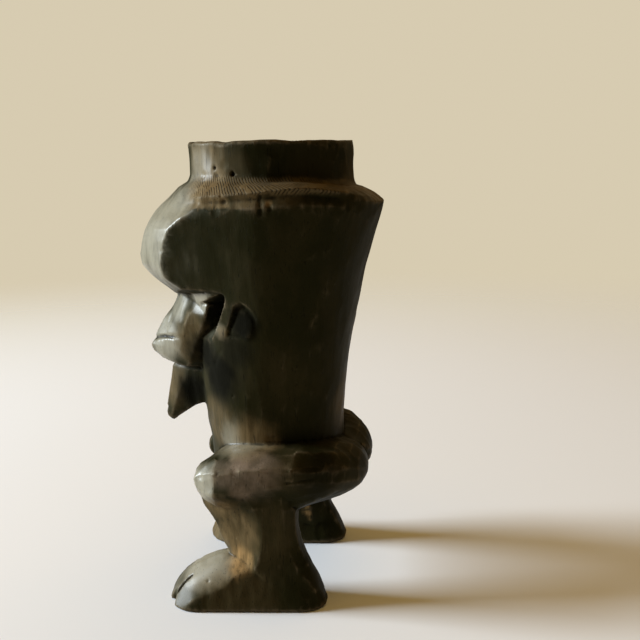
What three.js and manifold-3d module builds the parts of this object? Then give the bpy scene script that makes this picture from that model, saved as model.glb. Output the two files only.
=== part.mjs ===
// A drinking cup carved from one block of dark wood as a head on two bent legs.
// Millimetres. The face looks along -Y, +X is the figure's left, the soles stand at Z 0.
// Y 0 is the axis of the cup while the shapes are made; the last step centres the footprint on the origin.
import * as THREE from "three";
import { mergeVertices } from "three/addons/utils/BufferGeometryUtils.js";
import Module from "manifold-3d";

const wasm = await Module();
wasm.setup();

// Cup and rim
const rimHeight = 200;
const collarRadius = 36.4;
const collarBaseRadius = 37.4;
const collarBase = 183.4;
const collarBackDrop = 3;
const wall = 5;
const cupDepth = 104;
const cupFloorRadius = 18;
const cupSides = 40;

// Head and trunk, as heights and the reach of the surface there
const trunkBottom = 50;
const browWallLow = 129;
const browWallHigh = 137.3;
const browRootReach = 44.5;
const browRootHeight = 133.2;
const sideReach = [[50, 30.5], [64, 31], [78, 31.5], [97, 33], [120, 36], [143, 39.3], [162, 42.3],
  [175, 44.2], [182, 44.6]];
const backReach = [[50, 30], [71, 30], [84, 30.6], [97, 32.1], [120, 36], [143, 40.7], [162, 46.3],
  [172, 49.2], [182, 50]];
const throatReach = [[50, 31], [64, 31.4], [75, 33.4], [97, 35.4], [120, 36.8], [134, 38], [182, 40]];
const foreheadReach = [[133, 45.7], [135, 48.8], [138.9, 54.5], [142.6, 59.1], [146.3, 62.3], [150, 62.9],
  [154.2, 62.6], [164.7, 58.8], [172.4, 52.7], [176.2, 48]];
const templeReach = [[138.5, 34.6], [139.8, 36.7], [144, 42.5], [147.7, 43.3], [152, 43], [157, 41.7],
  [161.3, 40], [165.6, 37], [168.5, 33], [171.8, 26.8], [174.8, 22.9], [177.4, 22.5]];
const templeWidth = [[50, 26], [100, 28], [132, 30], [144, 30.5], [152, 31.5], [161, 34], [168.5, 37],
  [177.4, 38]];
const foreheadLow = 133;
const foreheadHigh = 176.2;
const templeLow = 138.5;
const templeHigh = 177.4;

const foreheadCrest = 1.6;
const bodyHeights = [trunkBottom, 57, 66, 75, 85, 96, 108, 120, browWallLow];
const headShares = [0, 0.06, 0.13, 0.21, 0.3, 0.41, 0.54, 0.67, 0.78, 0.86];

// Cap-like hair: its edge, as [Y, height], rises from the temples along the sides and falls behind
const hairline = [[-48, 177.4], [-25, 177.4], [-12, 178.2], [7.5, 180], [19.5, 181], [35, 179],
    [50, 175.8]];
const hairGroove = 2;
const grooveShare = 0.94;
const capBulge = 0.9;

// Face
const socketDepth = 28;
const socketRampTop = 126;
const socketRamp = 0.7;
const eyeDepth = 35.4;
const eyeSlope = 0.07;
const chinTip = 71;

// Legs and feet
const footMiddle = 33.5;
const toeEnd = -43.8;
const heelEnd = 26.3;
const ballY = -31;
const heelY = 15;
const ballHalf = 16.7;
const heelHalf = 11.2;
const sideBatter = 0.28;
const soleRound = 1.2;
const slitInner = 40;
const slitWidth = 1;
const slitEnd = -32.4;
const slitGround = 11.5;
const outerToeEnd = -39.6;

// Sampling of the rings: front half of the forehead, then temple to back
const frontSteps = 7;
const sideSteps = 17;

const woodColour = 0x2b221c;
const woodRoughness = 0.42;

// Smooth value at a height, through pairs of [height, value].
function along(pairs, at) {
  const last = pairs.length - 1;
  if (at <= pairs[0][0]) return pairs[0][1];
  if (at >= pairs[last][0]) return pairs[last][1];
  const k = pairs.findIndex((pair) => pair[0] > at) - 1;
  const slope = (i) => {
    const a = pairs[Math.max(i - 1, 0)];
    const b = pairs[Math.min(i + 1, last)];
    return (b[1] - a[1]) / (b[0] - a[0]);
  };
  const [x0, y0] = pairs[k];
  const [x1, y1] = pairs[k + 1];
  const h = x1 - x0;
  const t = (at - x0) / h;
  const rise = t * t * (3 - 2 * t);
  return y0 * (1 - rise) + y1 * rise + h * t * (1 - t) * ((1 - t) * slope(k) - t * slope(k + 1));
}

const lerp = THREE.MathUtils.lerp;

// A closed solid through rings of as many points each, capped with a fan at both ends. Each quad between two
// rings is split along its shorter diagonal.
function loft(rings) {
  const count = rings[0].length;
  const points = rings.flat();
  for (const ring of [rings[0], rings[rings.length - 1]]) {
    const middle = new THREE.Vector3();
    ring.forEach((point) => middle.add(point));
    points.push(middle.divideScalar(count));
  }
  const top = (rings.length - 1) * count;
  const faces = [];
  for (let i = 0; i < count; i++) {
    const next = (i + 1) % count;
    for (let low = 0; low < top; low += count) {
      const [a, b, c, d] = [low + i, low + next, low + count + next, low + count + i];
      const shorter = points[a].distanceTo(points[c]) < points[b].distanceTo(points[d]);
      if (shorter) faces.push(a, b, c, a, c, d);
      else faces.push(a, b, d, b, c, d);
    }
    faces.push(points.length - 2, next, i, points.length - 1, top + i, top + next);
  }
  const geometry = new THREE.BufferGeometry().setFromPoints(points).setIndex(faces);
  return solid(geometry);
}

// A manifold solid of a closed geometry, turned the right way out.
function solid(geometry) {
  geometry.deleteAttribute("normal");
  geometry.deleteAttribute("uv");
  const merged = mergeVertices(geometry, 1e-4);
  const vertProperties = merged.getAttribute("position").array;
  const triVerts = new Uint32Array(merged.index.array);
  const made = new wasm.Manifold(new wasm.Mesh({ numProp: 3, vertProperties, triVerts }));
  if (made.volume() > 0) return made;
  for (let i = 0; i < triVerts.length; i += 3) triVerts.subarray(i, i + 3).reverse();
  return new wasm.Manifold(new wasm.Mesh({ numProp: 3, vertProperties, triVerts }));
}

function acrossTheMiddle(point) {
  return new THREE.Vector3(-point.x, point.y, point.z);
}

// The mirror image of a half ring completes it: from the front middle round +X to the back, then round -X.
function bothSides(half) {
  const inner = half.slice(1, -1).reverse();
  return [...half, ...inner.map(acrossTheMiddle)];
}

// Half a section of head or trunk. A front curve runs from the middle to the temple, a flat side runs on
// from the temple until it touches the oval of the skull, and the oval closes the back.
function halfSection(height, front, temple, crest, rise) {
  const side = along(sideReach, height);
  const back = along(backReach, height);
  const throat = along(throatReach, height);
  const middle = (back - throat) / 2;
  const depth = (back + throat) / 2;
  const half = [];
  for (let i = 0; i < frontSteps; i++) {
    const share = i / frontSteps;
    const y = lerp(front.y, temple.y, share ** crest);
    half.push(new THREE.Vector3(temple.x * share, y, lerp(front.z, temple.z, share ** 2)));
  }
  const across = temple.x / side;
  const forward = (middle - temple.y) / depth;
  const reach = Math.max(1, Math.hypot(across, forward));
  const start = Math.atan2(across, forward);
  const touch = start + Math.acos(1 / reach);
  for (let i = 0; i <= sideSteps; i++) {
    const angle = lerp(start, Math.PI, i / sideSteps);
    const r = angle < touch ? 1 / Math.cos(touch - angle) : 1;
    const x = i === sideSteps ? 0 : side * r * Math.sin(angle);
    const y = middle - depth * r * Math.cos(angle);
    half.push(new THREE.Vector3(x, y, temple.z + rise(y)));
  }
  return half;
}

// Where the plain oval of trunk or head stands at the temple.
function templeAt(height) {
  const back = along(backReach, height);
  const throat = along(throatReach, height);
  const x = along(templeWidth, height);
  const across = Math.sqrt(1 - (x / along(sideReach, height)) ** 2);
  return new THREE.Vector3(x, (back - throat) / 2 - (back + throat) / 2 * across, height);
}

// Trunk and lower face: a plain oval that swells upwards.
function trunkRing(height) {
  const front = new THREE.Vector3(0, -along(throatReach, height), height);
  return bothSides(halfSection(height, front, templeAt(height), 2, () => 0));
}

// The top of the wall under the brow, which comes forward beside the root of the nose.
function browWallRing() {
  const front = new THREE.Vector3(0, -browRootReach, browRootHeight);
  return bothSides(halfSection(browWallHigh, front, templeAt(browWallHigh), foreheadCrest, () => 0));
}

// Forehead and upper head, from under the brow (0) to the hairline (1), which the last rings bend up to.
function headPoints(share) {
  const low = lerp(foreheadLow, foreheadHigh, share);
  const high = lerp(templeLow, templeHigh, share);
  const front = new THREE.Vector3(0, -along(foreheadReach, low), low);
  const temple = new THREE.Vector3(along(templeWidth, high), -along(templeReach, high), high);
  const rise = (y) => share ** 3 * (along(hairline, y) - templeHigh);
  return halfSection(high, front, temple, foreheadCrest, rise);
}

// Moves the points of half a ring towards the cup's axis, by the depth that a function of Y gives.
function drawIn(half, depthAt) {
  return half.map((point) => {
    const kept = 1 - depthAt(point.y) / Math.hypot(point.x, point.y);
    return new THREE.Vector3(point.x * kept, point.y * kept, point.z);
  });
}

// The groove under the edge of the hair: deep along the sides, gone at the forehead and at the back.
function grooveAt(y) {
  return hairGroove * THREE.MathUtils.smoothstep(y, -34, 6) * (1 - THREE.MathUtils.smoothstep(y, 30, 44));
}

// The edge of the hair itself is rounded off behind.
function hairEdgeAt(y) {
  return lerp(0.2, 2.2, THREE.MathUtils.smoothstep(y, 30, 47));
}

// A ring of the collar, with its points at the same bearings as the hairline's.
function collarHalf(hair, radius, height) {
  return hair.map((point) => {
    const bearing = Math.atan2(point.x, -point.y);
    const x = point.x === 0 ? 0 : radius * Math.sin(bearing);
    const y = -radius * Math.cos(bearing);
    const drop = (height < rimHeight ? collarBackDrop : 0) * THREE.MathUtils.smoothstep(y, 12, 37);
    return new THREE.Vector3(x, y, height - drop);
  });
}

// Trunk, head, cap of hair and the collar that is the rim of the cup, as one loft.
function skullAndCollar() {
  const hair = drawIn(headPoints(1), hairEdgeAt);
  const foot = collarHalf(hair, collarBaseRadius, collarBase);
  const cap = hair.map((point, i) => {
    const between = point.clone().lerp(foot[i], 0.5);
    between.z += capBulge;
    return between;
  });
  const halves = [
    ...headShares.map(headPoints),
    drawIn(headPoints(grooveShare), grooveAt),
    hair,
    cap,
    foot,
    collarHalf(hair, collarRadius, collarBase + 2.5),
    collarHalf(hair, collarRadius - 0.2, lerp(collarBase, rimHeight, 0.6)),
    collarHalf(hair, collarRadius + 0.2, rimHeight - 0.8),
    collarHalf(hair, collarRadius - 0.6, rimHeight),
  ];
  return loft([...bodyHeights.map(trunkRing), browWallRing(), ...halves.map(bothSides)]);
}

// The hollow of the cup: wide at the rim, a little wider inside the head, then narrowing to a round floor.
function hollow() {
  const rim = collarRadius - wall;
  const floor = rimHeight - cupDepth;
  const widths = [[24.4, 126], [27, 142], [31.6, 164], [rim, 186]];
  const wallSide = widths.map(([r, z]) => new THREE.Vector2(r, z));
  const profile = new THREE.Path();
  profile.moveTo(0, floor);
  profile.quadraticCurveTo(cupFloorRadius, floor, cupFloorRadius + 4, floor + 14);
  profile.splineThru(wallSide);
  profile.lineTo(rim, rimHeight - 1.2);
  profile.lineTo(rim + 1.2, rimHeight + 1);
  profile.lineTo(0, rimHeight + 1);
  const lathe = new THREE.LatheGeometry(profile.getPoints(3), cupSides);
  lathe.rotateX(Math.PI / 2);
  return solid(lathe);
}

// A solid that stands on the face along the bearings of an outline, from layers of [radius, scale]. Its
// radius is greater by what a function gives for each point and the outline's middle.
function onTheFace(outline, layers, further) {
  const middle = new THREE.Vector2();
  outline.forEach((point) => middle.add(point));
  middle.divideScalar(outline.length);
  return loft(layers.map(([radius, scale]) => outline.map((point) => {
    const at = middle.clone().lerp(point, scale);
    const bearing = THREE.MathUtils.degToRad(at.x);
    const out = radius + further(at, middle);
    return new THREE.Vector3(out * Math.sin(bearing), -out * Math.cos(bearing), at.y);
  })));
}

// An outline in degrees round the head and height, through its corners.
function outline(corners, steps) {
  const through = corners.map(([x, y]) => new THREE.Vector3(x, y, 0));
  const curve = new THREE.CatmullRomCurve3(through, true, "catmullrom", 0.4);
  return curve.getPoints(steps).slice(0, steps).map(({ x, y }) => new THREE.Vector2(x, y));
}

// The deep hollow between the cheek and the eye. It slants down and forward, its back edge is the crest of
// the eye's inner lid, and its ground rises until it runs out beside the nose.
function socket() {
  const edge = outline([[10, 129], [10, 117], [30, 112.5], [43, 112.5], [50, 115.5], [54, 119.5],
    [57.4, 124], [61.4, 128.5], [64.8, 132.2], [66.8, 135.2], [65.6, 137.2], [61.5, 136.7],
    [55, 134.9], [46, 132.6], [30, 131]], 26);
  const layers = [[socketDepth, 0.82], [socketDepth + 4.4, 0.93], [36.6, 1], [56, 1.1]];
  return onTheFace(edge, layers, (at) => socketRamp * Math.max(socketRampTop - at.y, 0));
}

// The outline of the eye between its lids, a little wider behind.
function lids() {
  return outline([[64.5, 118.4], [67.5, 123.5], [71.5, 128], [73.5, 132], [79, 133.6], [86, 130.4],
    [90, 126], [88, 119], [83, 116.2], [73, 118]], 20);
}

// How much nearer to the surface the eye lies further back.
function towardsTemple(at, middle) {
  return eyeSlope * (at.x - middle.x);
}

// The sunken ground of the eye, deep behind the crest of the lid and almost level with the temple behind.
function eyeGround() {
  return onTheFace(lids(), [[eyeDepth, 0.82], [eyeDepth + 1.5, 1], [56, 1.1]], towardsTemple);
}

// The eyeball: a low boss that leaves a groove round it.
function eye() {
  const layers = [[-6, 0.9], [0.1, 0.82], [0.9, 0.66], [1.2, 0.36]];
  return onTheFace(lids(), layers.map(([out, scale]) => [eyeDepth + out, scale]), towardsTemple);
}

// A solid from half sections at heights. Each point is [x, y] from the middle plane outwards and back,
// with a third number where it lies off its section's height.
function faceBlock(sections) {
  return loft(sections.map(([height, ...half]) => {
    const points = half.map(([x, y, lift = 0]) => new THREE.Vector3(x, y, height + lift));
    return [...points, ...[...points].reverse().map(acrossTheMiddle)];
  }));
}

// The nose with the cheeks behind it: ridge, flank, front edge and back edge of the cheek, and a point
// inside the head. An arched groove parts the round tip from the flank, and the root runs up into the brow.
function nose() {
  return faceBlock([
    [100.2, [1.5, -50], [6, -47.5], [10.5, -44.5], [14, -38.6], [10.5, -24]],
    [102, [2.4, -55.2], [7.5, -50.6], [12, -45.4], [15.4, -37.8], [12, -24]],
    [105, [3, -58.2], [9, -51.8], [13.6, -44], [16.4, -36], [13, -24]],
    [108.8, [3.2, -59.4, -0.4], [9.8, -51.3], [15.9, -41.5, 0.2], [18.2, -34.1, 0.2], [14, -24]],
    [113.2, [3, -58.8, -3.4], [10.6, -50, -0.8], [18.4, -39.2, 0.5], [20.3, -31.9, 0.5], [15.5, -24]],
    [114.3, [2.2, -56.9, -3.1], [9.6, -48.5, -0.6], [18.5, -39.1, 0.6], [20.8, -31.3, 0.6], [16, -24]],
    [115.6, [2.6, -57.4, -3], [10.7, -48.6, -0.4], [19.4, -38.7, 0.8], [21.4, -30.6, 0.7], [16, -24]],
    [120.5, [2.3, -53.2], [11.4, -45.5, 0.7], [20.9, -36.7, 1.3], [24, -27.9, 1.2], [17, -22]],
    [125, [2, -49.5], [11.7, -42.3, 1], [21.3, -34.2, 1.8], [25.5, -26, 1.5], [18, -20]],
    [130.4, [1.9, -46, 1], [7.9, -41.7, 2.9], [20.5, -31.2, 0.3], [26.2, -24.9, 0.3], [19, -18]],
    [134.9, [2.4, -47.3], [7, -42.6], [14, -34], [22, -24], [17, -15]],
    [138.7, [3, -51], [12, -44], [20, -32], [26, -20], [20, -12]],
    [141, [3, -50], [11, -42], [18, -30], [24, -18], [18, -12]],
  ]);
}

// The jaw and its pointed beard: a keel that leans forward to a low tip and is hollowed under. The mouth
// is the notch between the jaw and the nose.
function jaw() {
  return faceBlock([
    [chinTip, [0.6, -51.6], [0.9, -51.2], [0.8, -50.6]],
    [73.1, [0.9, -53.9], [2.4, -51.6], [2.4, -48.4]],
    [76.5, [1, -54.4], [4, -50], [4.6, -43.4]],
    [80, [1, -53.6], [5.2, -48.7], [7, -38.4]],
    [83.5, [1, -52.8], [6, -47.4], [9, -30]],
    [89.4, [1.1, -51.6], [7, -44.6], [11, -26]],
    [94.7, [1.2, -50.5], [8, -41.2], [12.8, -24]],
    [97.8, [1.2, -50.1], [8.4, -40.6], [13.6, -24]],
    [99.8, [1, -48.4], [6.6, -39], [11, -24]],
    [103, [1, -47], [6, -38], [10, -24]],
  ]);
}

// The small boss of the navel on the trunk.
function navel() {
  const boss = new THREE.SphereGeometry(1, 12, 8);
  boss.scale(3.6, 3.2, 5.2);
  boss.translate(0, -31.4, 59.4);
  return solid(boss);
}

// A solid from upright sections along Y: each section lists [x, z] round the outline.
function alongY(sections) {
  const ring = ([y, ...around]) => around.map(([x, z]) => new THREE.Vector3(x, y, z));
  return loft(sections.map(ring));
}

// A solid from level sections: each section lists [x, y] round the outline.
function alongZ(sections) {
  const ring = ([z, ...around]) => around.map(([x, y]) => new THREE.Vector3(x, y, z));
  return loft(sections.map(ring));
}

// Thigh and buttock: a thick band with a knife-cut lower edge, from the knee round the hip to the cleft.
function thigh() {
  return alongY([
    [-31.4, [28, 57.2], [32, 59.2], [35.4, 58.6], [37.2, 57], [37.2, 54.6], [35, 52.8], [31, 52.4],
      [27.5, 54]],
    [-29.8, [23, 59.6], [30, 61.6], [36.6, 60.6], [39.6, 58.2], [39.6, 53.2], [36.6, 50.4], [29.5, 49.8],
      [22.5, 52.5]],
    [-26, [19, 62], [30, 64.2], [38.4, 63], [42.4, 59.8], [42.6, 52.2], [39, 47.6], [29, 46.6], [18.6, 50]],
    [-20, [15, 65], [29, 68.2], [38.6, 67.2], [46.2, 62.2], [46.2, 51.6], [40, 45], [28, 42.2], [14.5, 46]],
    [-8, [8, 66], [28, 70.6], [38.6, 69.6], [47.2, 64.4], [46.8, 54.4], [40, 44], [26, 39.5], [11, 44.5]],
    [3, [-1, 66], [28, 71.4], [38.4, 70.6], [47.2, 65.2], [46.6, 56.6], [39, 43], [22, 38], [-1, 43.5]],
    [14, [-1, 66], [27, 71.4], [37.4, 70.6], [46, 65], [45.2, 58.6], [37, 44], [20, 37.8], [-1, 42.5]],
    [23, [-1, 66], [24, 70.8], [34.4, 69.8], [42.2, 64.4], [41.2, 58], [33.6, 47.4], [18, 40], [-1, 43.6]],
    [30, [-1, 66], [21, 70], [30.4, 68.6], [38, 63.4], [37, 57], [29.6, 48.8], [16.4, 42.4], [-1, 46.6]],
    [36, [-0.4, 64], [15.6, 67], [24.4, 65.6], [30.8, 61.6], [30, 55.4], [24, 49.6], [14, 45], [-0.4, 50]],
    [39.6, [1.4, 61], [13, 63.6], [19.6, 62.4], [24.4, 59], [23.8, 54], [19.4, 50.2], [12, 47.6],
      [1.4, 53]],
    [41.6, [4.2, 58.6], [12, 60.2], [16, 59.4], [18.6, 57.2], [18, 54], [15, 51.8], [11, 51], [4.8, 54]],
    [42.5, [9.4, 56.8], [12, 57.8], [14, 57.2], [15, 56], [14.6, 54.6], [13.4, 53.8],
      [11.4, 53.6], [9.8, 55]],
  ]);
}

// Lower leg from the knee into the foot, with a ridge down its outer side and a flat shin before it.
function leg() {
  const shin = [[6, 4], [12, 8], [18.7, 15.4], [20.6, 16.3], [27.8, 20], [35.8, 22.7], [47.6, 30.1],
    [56, 29]];
  const sections = [
    [6, [25, 0], [25, 12], [27, 18], [31, 21], [36.4, 20.6], [40, 17], [42, 8], [42, -2]],
    [12, [23.6, -4], [23.6, 11], [26.6, 18], [31, 20.6], [36.6, 20.2], [40.6, 16], [42.8, 2], [40.4, -6]],
    [18.7, [23, -8], [22.6, 10], [26.6, 17.2], [31, 19.4], [36.6, 18.8], [41, 14.6], [43.6, -3.4],
      [37.6, -12.4]],
    [22, [23.4, -10], [22.4, 8], [26.6, 15.8], [31, 17.8], [36.6, 17.2], [40.8, 12.8],
      [43.2, -2.2], [37, -14]],
    [27.8, [22.8, -12], [22, 6], [26.4, 13.6], [31, 15.6], [37, 15], [40.8, 10.6], [42.6, -0.6],
      [36.6, -16.8]],
    [35.8, [22, -14.6], [21.4, 5], [26, 12.4], [31, 14.2], [37.4, 13.8], [41.4, 9.4],
      [42.8, -0.2], [36.6, -19.4]],
    [43, [20.8, -18], [20.4, 4], [25, 12.6], [31, 14.4], [38, 14], [42.2, 9.4], [43.6, -1.6], [36.8, -23.4]],
    [52, [20, -23], [19, 3], [24, 13], [31, 15], [38, 14.6], [43, 9], [45, -7], [37.4, -26.8]],
    [56, [22, -23], [21, 2], [25, 11], [31, 13], [37, 12.6], [41, 8], [43, -6], [37, -25]],
  ];
  return alongZ(sections.map(([z, ...around]) => {
    const front = -along(shin, z);
    return [z, [28.6, front + 0.8], ...around, [34.6, front]];
  }));
}

// One foot: narrow at the heel, wide and round at the toes, flat below, with an edge between top and side.
function foot() {
  const top = [[toeEnd, 2.6], [-42.6, 6.6], [-38.1, 11.1], [-29.8, 16.5], [-21.8, 20.3], [-14, 22.5],
    [-4, 24], [10, 24], [17, 21], [19.8, 18], [23.6, 10.8], [heelEnd, 3.4]];
  const edge = [[toeEnd, 1.9], [-38, 2.1], [-33, 2.6], [-30.6, 4.9], [-24, 7.8], [-17.3, 10.2], [-13, 14.6],
    [-4.3, 17.6], [6, 19], [14, 18], [19, 13], [23, 7.4], [heelEnd, 2.4]];
  const stations = [toeEnd, -43.2, -41.6, -38.6, -35.6, -33, -30.6, -24, -17.3, -13, -7, 3, 11, 16, 19.6,
    22.6, 24.8, 26, heelEnd];
  return alongY(stations.map((y) => {
    const atToe = THREE.MathUtils.clamp((ballY - y) / (ballY - toeEnd + 0.3), 0, 1);
    const atHeel = THREE.MathUtils.clamp((y - heelY) / (heelEnd - heelY + 0.6), 0, 1);
    const round = Math.sqrt(1 - Math.max(atToe, atHeel) ** 2);
    const towardsHeel = THREE.MathUtils.clamp((y - ballY) / (heelY - ballY), 0, 1);
    const half = lerp(ballHalf, heelHalf, towardsHeel) * round;
    const height = along(top, y);
    const side = along(edge, y);
    const low = soleRound * (1 - round) ** 2;
    const upper = half - sideBatter * side;
    const around = [[1 - half, low], [half - 1, low], [half, low + 1], [upper, side],
      [upper * 0.55, lerp(side, height, 0.62)], [0.5, height], [-upper * 0.4, height - 0.3],
      [-upper * 0.8, lerp(side, height, 0.5)], [-upper, side * 0.86], [-half, low + 1]];
    return [y, ...around.map(([x, z]) => [footMiddle + x, z])];
  }));
}

// The cut that parts the outer toe: a thin slit, shallower behind, and in front of it the toe is set back.
function toeCut() {
  const above = 24;
  const below = -1;
  const pastTheSide = 12;
  const opening = (y, width, bottom) => {
    const outer = slitInner + width;
    return [y, [slitInner, above], [outer, above], [outer, bottom], [slitInner, bottom]];
  };
  return alongY([
    opening(toeEnd - 3, pastTheSide, below),
    opening(outerToeEnd - 0.2, pastTheSide, below),
    opening(outerToeEnd, slitWidth, below),
    opening(slitEnd, slitWidth / 2, slitGround),
  ]);
}

// One side's thigh, leg and foot, on the +X side.
function limb() {
  return thigh().add(leg()).add(foot()).subtract(toeCut());
}

function mirrored(made) {
  return made.mirror([1, 0, 0]);
}

function cup() {
  const oneSocket = socket();
  const oneGround = eyeGround();
  const oneEye = eye();
  const oneLimb = limb();
  let body = skullAndCollar();
  body = body.subtract(oneSocket).subtract(mirrored(oneSocket));
  body = body.subtract(oneGround).subtract(mirrored(oneGround));
  body = body.add(oneEye).add(mirrored(oneEye));
  body = body.add(nose()).add(jaw()).add(navel());
  body = body.add(oneLimb).add(mirrored(oneLimb));
  return body.subtract(hollow());
}

// A flat-shaded geometry of a solid, with its footprint centred on the origin.
function geometryOf(made) {
  const mesh = made.getMesh();
  const geometry = new THREE.BufferGeometry();
  geometry.setAttribute("position", new THREE.BufferAttribute(mesh.vertProperties, 3));
  geometry.setIndex(new THREE.BufferAttribute(mesh.triVerts, 1));
  geometry.computeBoundingBox();
  const { min, max } = geometry.boundingBox;
  return geometry.translate(-(min.x + max.x) / 2, -(min.y + max.y) / 2, -min.z);
}

const wood = new THREE.MeshStandardMaterial({ color: woodColour, roughness: woodRoughness, metalness: 0 });
const figuralCup = new THREE.Mesh(geometryOf(cup()), wood);
figuralCup.name = "figural_cup";

const model = new THREE.Group();
model.add(figuralCup);
export default model;
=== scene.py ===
import math
import bpy
import numpy as np
from mathutils import Matrix, Vector, kdtree
from mathutils.bvhtree import BVHTree


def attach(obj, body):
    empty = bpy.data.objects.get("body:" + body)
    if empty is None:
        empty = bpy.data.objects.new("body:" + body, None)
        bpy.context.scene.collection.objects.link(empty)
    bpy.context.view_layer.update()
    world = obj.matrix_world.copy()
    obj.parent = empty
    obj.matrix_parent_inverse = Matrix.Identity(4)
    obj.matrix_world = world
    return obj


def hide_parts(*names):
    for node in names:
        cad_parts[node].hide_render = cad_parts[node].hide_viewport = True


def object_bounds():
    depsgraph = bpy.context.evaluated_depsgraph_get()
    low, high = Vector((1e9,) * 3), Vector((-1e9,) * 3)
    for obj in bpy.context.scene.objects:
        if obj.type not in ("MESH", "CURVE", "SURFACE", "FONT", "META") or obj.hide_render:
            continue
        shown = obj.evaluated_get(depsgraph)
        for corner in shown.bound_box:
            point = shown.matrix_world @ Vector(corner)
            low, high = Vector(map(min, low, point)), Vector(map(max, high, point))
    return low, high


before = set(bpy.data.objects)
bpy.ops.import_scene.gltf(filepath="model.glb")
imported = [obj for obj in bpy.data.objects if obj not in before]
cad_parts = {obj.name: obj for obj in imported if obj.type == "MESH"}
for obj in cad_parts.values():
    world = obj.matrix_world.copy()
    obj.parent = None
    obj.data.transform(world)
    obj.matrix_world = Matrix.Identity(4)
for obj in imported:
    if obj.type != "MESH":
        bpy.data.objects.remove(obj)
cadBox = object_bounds()
perMetre = 1000               # millimetres

# The cup. Millimetres round the middle of the bowl: x the figure's left, y behind, z up from the soles.
cup = {
    "bowlY": 6.66,            # where the middle of the bowl stands in the finished frame
    "voxel": 0.62,            # size of the first skin over the block
    "mostTriangles": 192000,
    "mergeWithin": 0.00002,   # in metres, for the corners of the block's faces
    "boxInset": 0.0001,       # keeps rounding from carrying a point past the block's box
    "foldAngle": 17.0,        # a fold sharper than this stays a carved edge
    "limbFoldAngle": 11.0,    # the same on the legs, which keep more of the blade's planes
    "footFoldAngle": 24.0,    # and on the feet, which are rubbed round
    "foldReach": 1.7,         # how far an edge keeps its neighbours from being rubbed smooth
    "foldStep": 0.5,          # between the marks along an edge
    "edgeKept": 0.75,         # share of the way to an edge from where rubbing stops
    "rubFaces": 60,           # passes
    "rubEdges": 2,
    "rubStrength": 0.5,
    "soleKept": (0.5, 1.6),   # heights between which the cutting sets in over the flat soles
    "soleTop": 0.6,
    "hipHeight": 71.0,
    "ankleHeight": 24.0,
    "seed": 7,
}

# Flat cuts of the blade: where, which way the cut faces, how deep and how wide. Each is on both sides.
flatCuts = [
    {"at": (43.4, -24.4, 56.6), "faces": (0.82, -0.57, 0.06), "deep": 0.5, "wide": 6.5},
    {"at": (45.2, -10.0, 65.0), "faces": (0.80, -0.22, 0.56), "deep": 0.5, "wide": 9.0},
    {"at": (45.6, 4.0, 64.5), "faces": (0.86, 0.10, 0.50), "deep": 0.6, "wide": 9.0},
    {"at": (41.5, 20.0, 63.5), "faces": (0.80, 0.42, 0.42), "deep": 0.7, "wide": 9.0},
    {"at": (34.0, 32.5, 62.0), "faces": (0.62, 0.70, 0.34), "deep": 0.7, "wide": 9.0},
    {"at": (33.0, -14.0, 69.5), "faces": (0.30, -0.30, 0.90), "deep": 0.6, "wide": 9.0},
    {"at": (34.0, 6.0, 71.0), "faces": (0.25, 0.05, 0.97), "deep": 0.5, "wide": 9.0},
    {"at": (38.5, 22.0, 52.0), "faces": (0.72, 0.42, -0.55), "deep": 0.7, "wide": 11.0},
]

# A flat cut takes only points whose surface faces its own way by at least this cosine
flatCutFacing = 0.4

# Chisel marks by region: how many, half length and half width, depth, and which way they run
chiselMarks = {
    "forehead": {"count": 110, "half": (9.0, 5.0), "depth": 0.22, "run": (1, 0, 0)},
    "side": {"count": 170, "half": (15.0, 3.2), "depth": 0.13, "run": (0, 0, 1)},
    "collar": {"count": 90, "half": (8.0, 4.0), "depth": 0.34, "run": (0, 0, 1)},
    "hairEdge": {"count": 90, "half": (4.0, 3.2), "depth": 0.28, "run": (0, 0, 1)},
    "trunk": {"count": 150, "half": (12.0, 4.4), "depth": 0.24, "run": (0, 0, 1)},
    "thigh": {"count": 170, "half": (8.0, 4.4), "depth": 0.42, "run": (0, 1, 0)},
    "leg": {"count": 130, "half": (11.0, 2.6), "depth": 0.2, "run": (0, 0, 1)},
    "footTop": {"count": 60, "half": (8.0, 3.6), "depth": 0.12, "run": (0, 1, 0)},
    "footSide": {"count": 110, "half": (6.0, 2.6), "depth": 0.22, "run": (0, 0, 1)},
    "face": {"count": 90, "half": (5.0, 2.6), "depth": 0.24, "run": (0, 0, 1)},
    "bowl": {"count": 170, "half": (11.0, 4.6), "depth": 0.34, "run": (0, 0, 1)},
}

# Knife cuts as lines through points, with width, depth and the share of grime and painted shade that darkens their
# grooves.
# Cuts marked both are on the other side too.
knifeCuts = [
    {"line": [(39.3, -33.1, 11.6), (39.8, -34.8, 10.3), (40.8, -36.4, 8.8), (41.8, -38.0, 6.8),
              (42.0, -39.4, 4.0)], "wide": 0.7, "deep": 1.3, "dirtAndShade": 0.9, "both": True},
    {"line": [(42.6, 3.0, 177.8), (43.6, 3.4, 171.0)], "wide": 1.6, "deep": 0.7, "dirtAndShade": 0.4, "both": False},
    {"line": [(43.2, 6.9, 178.6), (43.7, 7.2, 172.6)], "wide": 1.5, "deep": 0.9, "dirtAndShade": 0.0, "both": False},
    {"line": [(45.7, 11.2, 59.3), (41.8, 22.5, 60.0)], "wide": 0.8, "deep": 0.45, "dirtAndShade": 0.0, "both": False},
    {"line": [(2.0, -57.6, 110.6), (5.0, -55.4, 112.3), (8.0, -51.2, 113.2), (12.5, -46.0, 113.6)], "wide": 0.9,
     "deep": 0.15, "dirtAndShade": 0.6, "both": True},
    {"line": [(29.0, -17.6, 112.4), (25.7, -23.0, 104.8), (21.0, -29.0, 102.6)], "wide": 1.8, "deep": 0.35,
     "dirtAndShade": 0.0, "both": True},
]

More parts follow.
